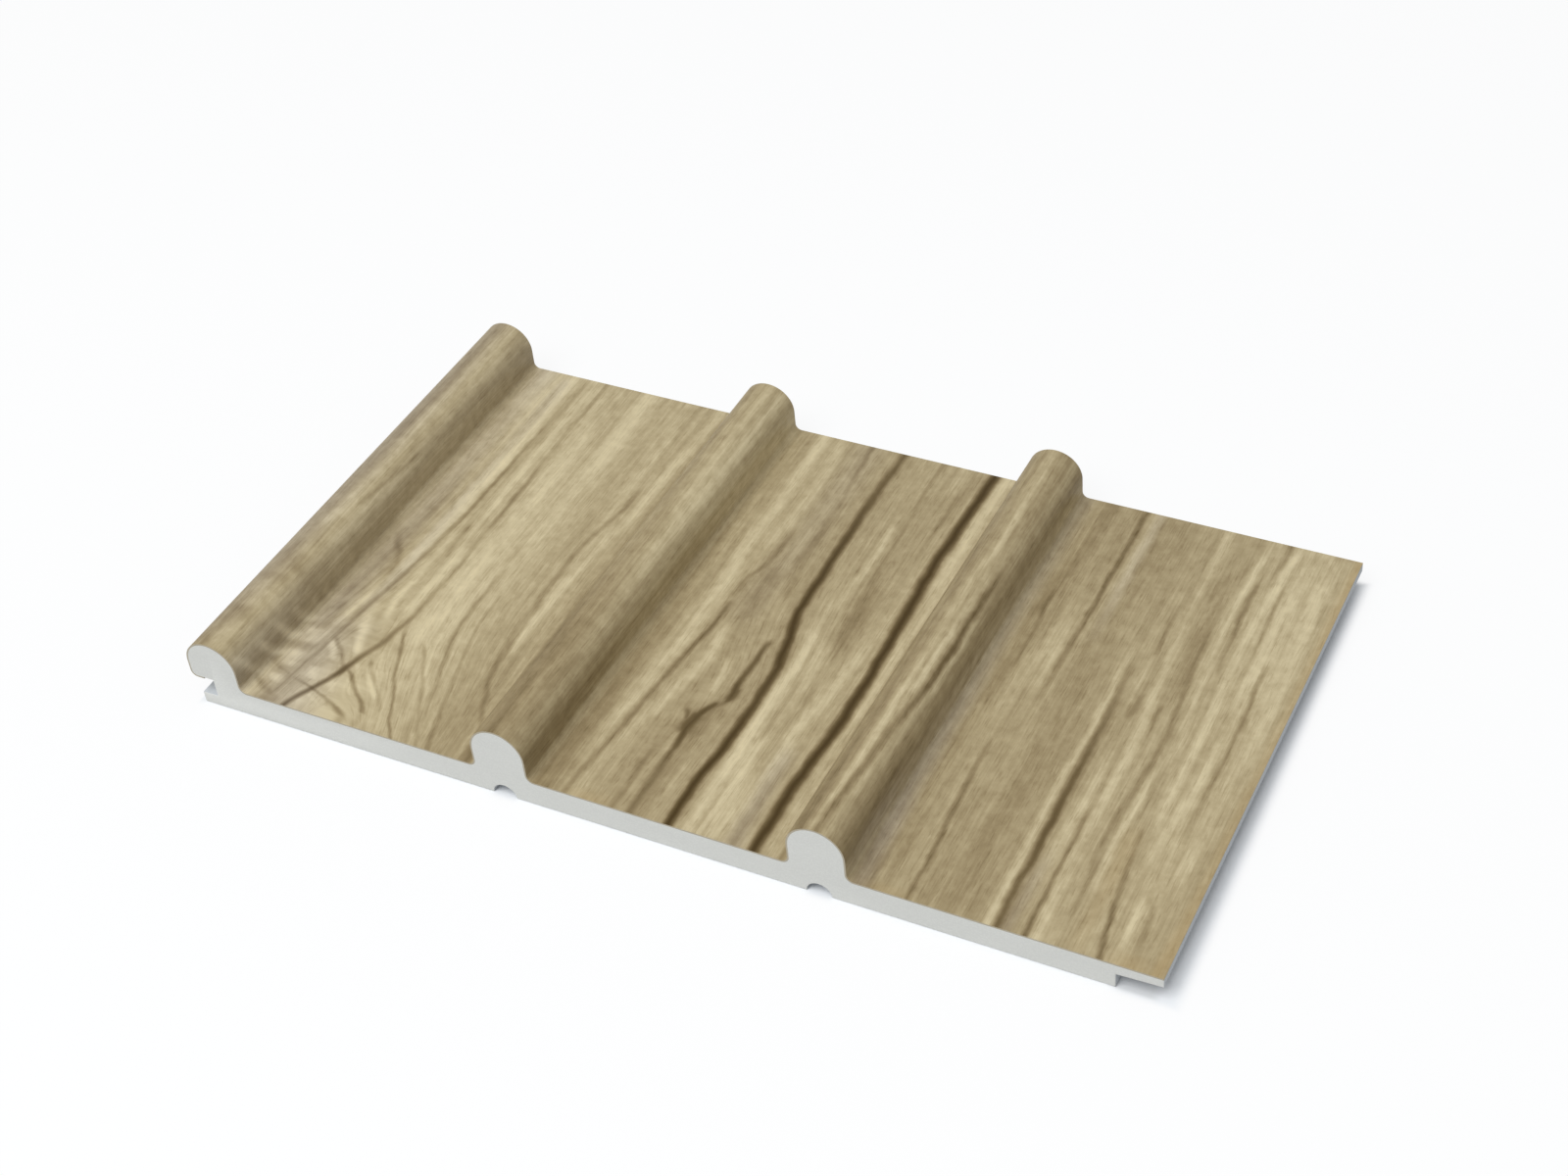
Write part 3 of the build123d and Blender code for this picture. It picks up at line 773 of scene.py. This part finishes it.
def broad_tone(wood):
    """The tone of each part of the board before its finer figure; across the slats it also holds painted
    light.
    """
    on_sheet = [
        (-63, 0.59), (-58, 0.64), (-54, 0.64), (-47, 0.66), (-42, 0.655), (-36, 0.64), (-30, 0.62),
        (-15, 0.6), (-11, 0.605), (-6, 0.58), (0, 0.58), (4, 0.595), (10, 0.6), (15, 0.6), (20, 0.605),
        (31.8, 0.57), (33, 0.585), (38, 0.595), (46, 0.57), (52, 0.59), (60, 0.61), (66, 0.635), (68, 0.66),
        (70, 0.642), (73, 0.6),
    ]
    # Across the slats these tones are partly painted light: they lighten or darken each crown across its
    # width by how the light falls, on top of the print's own tone
    slat_tones_and_painted_light = [
        (0, -30, 0.565), (0, -5, 0.535), (0, 10, 0.58), (0, 35, 0.625), (0, 60, 0.61),
        (1, -30, 0.56), (1, 0, 0.575), (1, 25, 0.595), (1, 60, 0.605),
        (2, -30, 0.54), (2, 0, 0.59), (2, 20, 0.55), (2, 45, 0.565), (2, 60, 0.545), (2, 85, 0.505),
        (2, 112, 0.61),
    ]
    points = [(wood.spread_of(wood.sheet(x)), tone) for x, tone in on_sheet]
    points += [(wood.spread_of(wood.slat(number, degrees)), tone) for number, degrees, tone in slat_tones_and_painted_light]
    return wood.finish.curve(wood.spread, sorted(points))


def slat_rings(wood):
    """Uneven growth rings that cross the first slat near its front end and run out into the fan."""
    finish = wood.finish
    lengthwise = wood.along * RINGS_ALONG - wood.across * RINGS_SLANT
    rings = finish.noise(finish.vector(wood.across * RINGS_ACROSS, lengthwise, RINGS_SEED), detail=1.5)
    on_crown = wood.window(middle=0.8, half_width=4.0)
    beside_slat = wood.window(middle=11.0, half_width=6.5)
    near_front = finish.ease(wood.along, low=-22.0, high=-12.0, at_low=1.0, at_high=0.0)
    return (rings - MIDDLE) * on_crown.at_least(beside_slat) * near_front


def wood_print_finish(colours, profile):
    """The film's print: pale weathered oak with long streaks, fine lines and two deep splits."""
    finish = new_finish("wood_print")
    wood = Print(finish, profile)
    grain = wood.across - grain_flow(wood)
    bands = wood.figure(grain, across=0.22, along=0.012, seed=0.0, detail=3.0, roughness=0.55)
    fibres = wood.figure(grain, across=1.0, along=0.035, seed=3.0, detail=3.0, roughness=0.6)
    threads = wood.figure(grain, across=3.6, along=0.1, seed=7.0, detail=2.0, roughness=0.6)
    flecks = wood.figure(grain, across=0.55, along=0.42, seed=11.0, detail=3.0, roughness=0.65)
    pores = wood.figure(grain, across=4.5, along=0.32, seed=13.0, detail=1.0, roughness=0.5)
    pore = finish.ease(pores, low=0.58, high=0.7)

    tone = broad_tone(wood)
    tone = tone + (bands - MIDDLE) * BAND_TONE + (fibres - MIDDLE) * FIBRE_TONE
    tone = tone + (threads - MIDDLE) * THREAD_TONE + (flecks - MIDDLE) * FLECK_TONE
    tone = tone + wood.marks(PALE_STREAKS) * PALE_TONE - wood.marks(BROWN_STREAKS) * BROWN_TONE
    tone = tone + slat_rings(wood) * RING_TONE - pore * PORE_TONE
    tone = tone - wood.marks(GRAIN_LINES) * LINE_TONE
    tone = tone + wood.marks(SPLITS) * (PRINT_TONES["split"] - tone)

    stops = [(place, opaque(getattr(colours, name))) for name, place in PRINT_TONES.items()]
    stops.append((LIGHTEST_TONE, opaque(colours.wood_pale, LIGHTEST_SHARE)))
    base = finish.node("ShaderNodeValToRGB", {"stops": stops}, {"Fac": tone})
    greyed = {**GREY_CAST, "Fac": wood.marks(GREY_STREAKS), "Color": base}
    base = finish.node("ShaderNodeHueSaturation", None, greyed)
    base = finish.mix(wood.marks(WARM_STREAKS) * WARM_SHARE, base, opaque(colours.wood_warm))

    relief = threads * THREAD_RELIEF + fibres * FIBRE_RELIEF - pore * PORE_RELIEF
    bump = finish.bump(relief, strength=0.35, distance=0.04 * MM)
    roughness = PRINT_ROUGHNESS + pore * PORE_ROUGHNESS + (fibres - MIDDLE) * FIBRE_ROUGHNESS
    return finish.plastic({
        "Base Color": base, "Roughness": roughness, "Normal": bump, "Specular IOR Level": 0.14,
    })


def film_edge_finish(colours):
    """The cut edge of the film: plain cream plastic with faint saw marks."""
    finish = new_finish("film_cut_edge")
    saw = finish.stretched(finish.object_place(), waves=(1.6, 0.2, 4.0), detail=2.0)
    tone = finish.shaded(saw, colours.film_edge, darkest=0.85)
    return finish.plastic({"Base Color": tone, "Roughness": 0.6})


# The foam, sawn and as the die leaves it

CELLS_PER_MM = 3.2
FOAM_MOTTLE = 0.1
SAW_SHADE = 0.05
SAW_RELIEF = 0.4  # beside a relief of 1 for the cells
SKIN_SHADE = 0.9
SKIN_VARIATION = 0.14
SKIN_ROUGHNESS = 0.62
DRAW_ROUGHNESS = 0.2


def sawn_foam_finish(colours):
    """Foam that a fine saw has cut: open cells, a faint mottle and matt all over."""
    finish = new_finish("foam_sawn")
    place = finish.object_place()
    sockets = {"Vector": finish.vector(*place), "Scale": CELLS_PER_MM}
    cells = finish.node("ShaderNodeTexVoronoi", {"feature": "F1"}, sockets)
    mottle = finish.stretched(place, waves=(0.16, 0.16, 0.3), detail=3.0)
    saw = finish.stretched(place, waves=(0.25, 0.25, 6.0), detail=2.0)
    open_cells = finish.ease(cells, low=0.05, high=0.75, at_low=1.0, at_high=0.93)
    shade = open_cells - (mottle - MIDDLE) * FOAM_MOTTLE - (saw - MIDDLE) * SAW_SHADE
    tone = finish.shaded(shade, colours.foam_sawn, darkest=0.35)
    bump = finish.bump(cells + saw * SAW_RELIEF, strength=0.4, distance=0.05 * MM)
    return finish.plastic({
        "Base Color": tone, "Roughness": 0.85, "Normal": bump, "Specular IOR Level": 0.25,
    })


def foam_skin_finish(colours):
    """The smooth skin that the die leaves on the foam, with fine draw lines along the panel."""
    finish = new_finish("foam_skin")
    place = finish.object_place()
    draw = finish.stretched(place, waves=(2.2, 0.012, 2.2), detail=3.0)
    mottle = finish.stretched(place, waves=(0.08, 0.05, 0.08), detail=3.0)
    shade = SKIN_SHADE + (draw - MIDDLE) * SKIN_VARIATION + (mottle - MIDDLE) * SKIN_VARIATION
    tone = finish.shaded(shade, colours.foam_skin, darkest=0.4)
    bump = finish.bump(draw, strength=0.25, distance=0.05 * MM)
    roughness = SKIN_ROUGHNESS + (draw - MIDDLE) * DRAW_ROUGHNESS
    return finish.plastic({
        "Base Color": tone, "Roughness": roughness, "Normal": bump, "Specular IOR Level": 0.35,
    })


# Modelling by hand

COLUMN = 0.4 * MM  # width of one strip of the film's mesh
ROWS = 64  # strips along the slats
FEWEST_BEND_STEPS = 6
NEAR = 1e-6  # metres within which two points are one
FILM_CREASE = math.radians(40)  # sharper edges stay sharp
FOAM_CREASE = math.radians(30)
BARE_EDGE = math.radians(40)  # sharper edges of the foam are eased
FLAT_EDGE = math.radians(0.5)  # flatter edges are dissolved
END_FACING = 0.6  # least lengthwise part of a sawn end's normal
SORT_DIRECTION = Vector((1000, 1, 10))  # slanted, so that no two points of the film tie
SPLIT_SHOULDER = 0.2  # millimetres past a printed split's sides that are pressed in with it


def deselect_all():
    if bpy.context.object and bpy.context.object.mode != "OBJECT":
        bpy.ops.object.mode_set(mode="OBJECT")
    bpy.ops.object.select_all(action="DESELECT")


def only_active(piece):
    deselect_all()
    piece.select_set(True)
    bpy.context.view_layer.objects.active = piece


def select_edges(piece, wanted):
    """In edit mode, selects just the edges whose two ends are both wanted."""
    bpy.ops.mesh.select_mode(type="EDGE")
    bpy.ops.mesh.select_all(action="DESELECT")
    drawn = bmesh.from_edit_mesh(piece.data)
    for edge in drawn.edges:
        edge.select = all(wanted(corner.co) for corner in edge.verts)
    drawn.select_flush_mode()
    bmesh.update_edit_mesh(piece.data)


def apply_modifier(piece, kind, **settings):
    """Adds a modifier with these settings and applies it."""
    modifier = piece.modifiers.new(kind.lower(), kind)
    for name, setting in settings.items():
        setattr(modifier, name, setting)
    bpy.ops.object.modifier_apply(modifier=modifier.name)


def give_materials(piece, *materials):
    piece.data.materials.clear()
    for material in materials:
        piece.data.materials.append(material)


def run(across=0.0, up=0.0):
    """Draws the selected edge on in a straight line, a column at a time."""
    steps = max(1, round(math.hypot(across, up) / COLUMN))
    bpy.ops.mesh.extrude_repeat(steps=steps, offset=(across / steps, 0, up / steps))


def bend(degrees, middle, radius):
    """Turns the selected edge on about a line along Y: positive degrees run from the bottom to the right."""
    steps = max(FEWEST_BEND_STEPS, round(radius * math.radians(abs(degrees)) / COLUMN))
    bpy.ops.mesh.spin(
        steps=steps, angle=math.radians(degrees), center=(middle[0], 0, middle[1]), axis=(0, 1, 0)
    )


def rank(corners):
    """How far the middle of these corners lies in the sorting direction."""
    return sum(corner.co.dot(SORT_DIRECTION) for corner in corners) / len(corners)


def settle_order(piece):
    """In edit mode, sorts points, edges and faces: extruding leaves their order different in each run."""
    drawn = bmesh.from_edit_mesh(piece.data)
    drawn.verts.sort(key=lambda corner: rank([corner]))
    drawn.edges.sort(key=lambda edge: rank(edge.verts))
    drawn.faces.sort(key=lambda face: rank(face.verts))
    bmesh.update_edit_mesh(piece.data)


def draw_film_face(profile, sizes):
    """Draws the film's outer face, from its edge under the first slat to the tip of the lip."""
    corner = sizes.overhang_corner
    turned_in = sizes.film_turn_under - corner
    length_along = REAR_END - FRONT_END
    deselect_all()
    bpy.ops.mesh.primitive_grid_add(x_subdivisions=1, y_subdivisions=ROWS, size=1)
    film = bpy.context.object
    film.name = "wood_film"
    film.data.name = "wood_film"
    start = profile.first_side + corner
    bpy.ops.object.mode_set(mode="EDIT")
    bpy.ops.mesh.select_all(action="SELECT")
    bpy.ops.transform.resize(value=(turned_in, length_along, 1))
    middle = (start + turned_in / 2, (FRONT_END + REAR_END) / 2, profile.underside)
    bpy.ops.transform.translate(value=middle)
    select_edges(film, lambda place: abs(place.x - start) < NEAR)
    bend(-90, (start, profile.underside + corner), corner)
    run(up=profile.crown - profile.underside - corner)
    for number in range(profile.count):
        side = profile.first_side + number * profile.pitch
        if number > 0:
            bend(90, (side - profile.fillet, profile.sheet + profile.fillet), profile.fillet)
            run(up=profile.side_drop - profile.fillet)
        bend(-180, (side + profile.radius, profile.crown), profile.radius)
        far_side = side + 2 * profile.radius
        run(up=profile.fillet - profile.side_drop)
        bend(90, (far_side + profile.fillet, profile.sheet + profile.fillet), profile.fillet)
        next_side = side + profile.pitch - profile.fillet
        is_last = number == profile.count - 1
        run(across=(profile.lip_tip if is_last else next_side) - far_side - profile.fillet)
    bpy.ops.mesh.select_all(action="SELECT")
    bpy.ops.mesh.remove_doubles(threshold=NEAR)
    bpy.ops.mesh.normals_make_consistent(inside=False)
    settle_order(film)
    bpy.ops.object.mode_set(mode="OBJECT")
    return film


def face_outwards(film):
    """Turns the open face over if its slats' tops look down."""
    top = max(film.data.polygons, key=lambda face: face.center.z)
    if top.normal.z > 0:
        return
    bpy.ops.object.mode_set(mode="EDIT")
    bpy.ops.mesh.select_all(action="SELECT")
    bpy.ops.mesh.flip_normals()
    bpy.ops.object.mode_set(mode="OBJECT")


def write_across(film, profile):
    """Stores each point's distance across the film laid flat, which the print reads."""
    places = film.data.attributes.new("across", "FLOAT", "POINT")
    for corner, place in zip(film.data.vertices, places.data):
        place.value = profile.unrolled(corner.co.x, corner.co.z)


def between(points, along):
    """The place across and the strength of a mark at a place along it, or None past its ends."""
    for first, second in zip(points, points[1:]):
        if first[0] <= along <= second[0]:
            share = (along - first[0]) / (second[0] - first[0])
            return [a + (b - a) * share for a, b in zip(first[1:], second[1:])]
    return None


def press_in_splits(film, profile, outer_count, depth):
    """Presses the splits of the print into the film's outer face."""
    group = film.vertex_groups.new(name="splits")
    across = film.data.attributes["across"].data
    for mark in SPLITS:
        points = sorted(mark.points(profile))
        for index in range(outer_count):
            found = between(points, film.data.vertices[index].co.y / MM)
            if found is None:
                continue
            away = abs(across[index].value / MM - found[0]) / (mark.width / 2 + SPLIT_SHOULDER)
            if away < 1:
                group.add([index], found[1] * (1 - away * away) ** 2, "REPLACE")
    apply_modifier(
        film, "DISPLACE", vertex_group="splits", direction="NORMAL", strength=-depth, mid_level=0.0
    )
    film.vertex_groups.clear()


class SLATPANEL_OT_wood_film(bpy.types.Operator):
    """Models the printed film over the panel's face and gives it its wood print"""

    bl_idname = "slat_panel.wood_film"
    bl_label = "Wood film"
    bl_options = {"REGISTER", "UNDO"}

    def execute(self, context):
        sizes = context.scene.slat_panel_sizes
        colours = context.scene.slat_panel_colours
        profile = Profile(sizes)
        film = draw_film_face(profile, sizes)
        face_outwards(film)
        write_across(film, profile)
        give_materials(film, wood_print_finish(colours, profile), film_edge_finish(colours))
        outer_count = len(film.data.vertices)
        apply_modifier(
            film, "SOLIDIFY", thickness=sizes.film_thickness, offset=-1, use_even_offset=True,
            material_offset_rim=1,
        )
        press_in_splits(film, profile, outer_count, sizes.split_depth)
        only_active(film)
        bpy.ops.object.shade_smooth_by_angle(angle=FILM_CREASE)
        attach(film, "root")
        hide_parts(FILM_NODE)
        return {"FINISHED"}


class SLATPANEL_OT_foam_core(bpy.types.Operator):
    """Eases the bare edges of the foam core and gives it its sawn ends and its smooth skin"""

    bl_idname = "slat_panel.foam_core"
    bl_label = "Foam core"
    bl_options = {"REGISTER", "UNDO"}

    def execute(self, context):
        sizes = context.scene.slat_panel_sizes
        colours = context.scene.slat_panel_colours
        core = bpy.data.objects.new("foam_core", frame["nodes"][CORE_NODE].data.copy())
        context.scene.collection.objects.link(core)
        core.data.name = "foam_core"
        give_materials(core, foam_skin_finish(colours), sawn_foam_finish(colours))
        only_active(core)
        bpy.ops.object.mode_set(mode="EDIT")
        bpy.ops.mesh.select_all(action="SELECT")
        bpy.ops.mesh.remove_doubles(threshold=NEAR)
        bpy.ops.mesh.dissolve_limited(angle_limit=FLAT_EDGE)
        self.ease_bare_edges(core, sizes.eased_edge)
        self.assign_sawn_ends(core)
        bpy.ops.object.mode_set(mode="OBJECT")
        bpy.ops.object.shade_smooth_by_angle(angle=FOAM_CREASE)
        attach(core, "root")
        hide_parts(CORE_NODE)
        return {"FINISHED"}

    def ease_bare_edges(self, core, amount):
        """Bevels the sharp edges that lie below the film."""
        bpy.ops.mesh.select_mode(type="EDGE")
        bpy.ops.mesh.select_all(action="DESELECT")
        bpy.ops.mesh.edges_select_sharp(sharpness=BARE_EDGE)
        drawn = bmesh.from_edit_mesh(core.data)
        for edge in drawn.edges:
            if any(corner.co.z > film_low.z - NEAR for corner in edge.verts):
                edge.select = False
        drawn.select_flush_mode()
        bmesh.update_edit_mesh(core.data)
        bpy.ops.mesh.bevel(offset=amount, segments=2, affect="EDGES")

    def assign_sawn_ends(self, core):
        """Gives the faces that look along the slats the sawn finish."""
        drawn = bmesh.from_edit_mesh(core.data)
        for face in drawn.faces:
            face.material_index = 1 if abs(face.normal.y) > END_FACING else 0
        bmesh.update_edit_mesh(core.data)


# The stage: the floor's shading is placed in millimetres, and the lamp in metres

FLOOR_GAP = 0.02 * MM  # between the floor and the panel's back
FLOOR_SEEN = (0.93, 0.96, 0.99, 1)
FLOOR_BOUNCE = (0.5, 0.5, 0.5, 1)  # what the floor throws back on the panel
# Painted shade: the floor under the lip is given this share of the darker tone
LIP_PAINTED_SHADE = 0.4  # share of that darker tone which shows under the lip
SHADOW_SKEW = 0.013  # how much the shadow beside the lip narrows for each millimetre towards the rear
LAMP_DIRECTION = Vector((-0.1, -0.5, 0.86)).normalized()
LAMP_DISTANCE = 0.9
LAMP_WIDTH = 0.7
SENSOR_WIDTH = 36.0
NEAREST_SEEN = 0.01
FURTHEST_SEEN = 50.0
WHITE = (1, 1, 1, 1)


class SLATPANEL_OT_stage(bpy.types.Operator):
    """Sets up the floor, the light and the camera"""

    bl_idname = "slat_panel.stage"
    bl_label = "Stage"
    bl_options = {"REGISTER", "UNDO"}

    def execute(self, context):
        stage = context.scene.slat_panel_stage
        self.lay_floor(stage)
        self.light_sky(context.scene, stage)
        self.hang_key_lamp(stage)
        self.set_camera(context.scene, stage)
        context.scene.view_settings.view_transform = "Standard"
        return {"FINISHED"}

    def lay_floor(self, stage):
        """A pale floor just under the panel, which shows as white and keeps the panel's shadow, with painted
        shade on it under the lip.
        """
        deselect_all()
        bpy.ops.mesh.primitive_plane_add(size=stage.floor_width, location=(0, 0, core_low.z - FLOOR_GAP))
        floor = bpy.context.object
        floor.name = "studio_floor"
        finish = new_finish("studio_floor")
        seen = self.seen_directly(finish)
        # Painted shade on the floor under the lip
        pale = seen * (1 - self.painted_shade_under_lip(finish) * LIP_PAINTED_SHADE)
        tone = finish.mix(pale, FLOOR_BOUNCE, FLOOR_SEEN)
        matt = finish.node("ShaderNodeBsdfDiffuse", None, {"Color": tone})
        white = finish.node("ShaderNodeEmission", None, {"Color": WHITE, "Strength": 1.0})
        lift = seen * self.clear_of_panel(finish) * stage.floor_white
        shader = finish.node("ShaderNodeMixShader", None, {0: lift, 1: matt, 2: white})
        give_materials(floor, finish.surface(shader))
        floor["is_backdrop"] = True

    def clear_of_panel(self, finish):
        """0 on the floor under the panel and in its shadow beside the lip, and 1 all round them."""
        x, y, z = finish.object_place()
        side = core_high.x / MM
        end = REAR_END / MM
        past_lip = finish.ease(x + y * SHADOW_SKEW, low=side + 0.2, high=side + 2.4)
        past_groove = finish.ease(-1 * x, low=side - 0.4, high=side)
        past_ends = finish.ease(abs(y), low=end - 0.3, high=end + 1.2)
        return past_lip.at_least(past_groove).at_least(past_ends)

    def painted_shade_under_lip(self, finish):
        """1 on the floor under the lip, where little light comes in and the floor is painted darker as
        shade, and 0 all round it.
        """
        x, y, z = finish.object_place()
        side = core_high.x / MM
        end = REAR_END / MM
        from_wall = finish.ease(x, low=side - 8.0, high=side - 6.5)
        to_tip = finish.ease(x, low=side - 2.0, high=side, at_low=1.0, at_high=0.0)
        under = from_wall * to_tip
        return under * finish.ease(abs(y), low=end - 0.3, high=end + 0.5, at_low=1.0, at_high=0.0)

    def seen_directly(self, finish):
        """1 for rays from the camera, and for mirrored and see-through ones, which see the same backdrop."""
        camera = finish.node("ShaderNodeLightPath", output="Is Camera Ray")
        mirrored = finish.node("ShaderNodeLightPath", output="Is Glossy Ray")
        through = finish.node("ShaderNodeLightPath", output="Is Transmission Ray")
        return camera.at_least(mirrored).at_least(through)

    def light_sky(self, scene, stage):
        """Even light from all round, and a white backdrop for the camera."""
        finish = Finish(bpy.data.worlds.new("studio_sky"))
        scene.world = finish.owner
        seen = self.seen_directly(finish)
        strength = seen * (1 - stage.sky_strength) + stage.sky_strength
        sky = finish.node("ShaderNodeBackground", None, {"Color": WHITE, "Strength": strength})
        finish.node("ShaderNodeOutputWorld", None, {"Surface": sky})

    def hang_key_lamp(self, stage):
        """One large soft lamp above the front of the panel, a little to its left."""
        bpy.ops.object.light_add(type="AREA", location=LAMP_DIRECTION * LAMP_DISTANCE)
        lamp = bpy.context.object
        lamp.name = "key_lamp"
        lamp.rotation_euler = LAMP_DIRECTION.to_track_quat("Z", "Y").to_euler()
        lamp.data.shape = "DISK"
        lamp.data.size = LAMP_WIDTH
        lamp.data.energy = stage.key_power

    def set_camera(self, scene, stage):
        """The camera at the photograph's place and angle."""
        turn = Matrix.Rotation(-stage.camera_yaw, 4, "Z")
        tilt = Matrix.Rotation(math.pi / 2 - stage.camera_pitch, 4, "X")
        roll = Matrix.Rotation(stage.camera_roll, 4, "Z")
        bpy.ops.object.camera_add()
        camera = bpy.context.object
        camera.name = "photo_camera"
        camera.matrix_world = Matrix.Translation(stage.camera_place) @ turn @ tilt @ roll
        camera.data.sensor_fit = "HORIZONTAL"
        camera.data.sensor_width = SENSOR_WIDTH
        camera.data.lens = stage.camera_lens
        camera.data.clip_start = NEAREST_SEEN
        camera.data.clip_end = FURTHEST_SEEN
        scene.camera = camera


class SLATPANEL_PT_sidebar(bpy.types.Panel):
    """The slat panel's pieces and settings"""

    bl_idname = "SLATPANEL_PT_sidebar"
    bl_label = "Slat panel"
    bl_space_type = "VIEW_3D"
    bl_region_type = "UI"
    bl_category = "Slat panel"

    def draw(self, context):
        for operator in OPERATORS:
            self.layout.operator(operator.bl_idname)
        for name in SETTINGS:
            settings = getattr(context.scene, name)
            box = self.layout.box()
            for setting in settings.__annotations__:
                box.prop(settings, setting)


SETTINGS = {
    "slat_panel_sizes": SlatPanelSizes,
    "slat_panel_colours": SlatPanelColours,
    "slat_panel_stage": SlatPanelStage,
}
OPERATORS = [SLATPANEL_OT_wood_film, SLATPANEL_OT_foam_core, SLATPANEL_OT_stage]
CLASSES = [*SETTINGS.values(), *OPERATORS, SLATPANEL_PT_sidebar]


def register():
    for cls in CLASSES:
        bpy.utils.register_class(cls)
    for name, group in SETTINGS.items():
        setattr(bpy.types.Scene, name, PointerProperty(type=group))


def unregister():
    for name in SETTINGS:
        delattr(bpy.types.Scene, name)
    for cls in reversed(CLASSES):
        bpy.utils.unregister_class(cls)


def main():
    register()
    bpy.ops.slat_panel.wood_film()
    bpy.ops.slat_panel.foam_core()
    bpy.ops.slat_panel.stage()
    boxes = {"cad": cad_box, "visual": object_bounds()}
    {name: [list(corner) for corner in box] for name, box in boxes.items()}


if __name__ == "__main__":
    main()
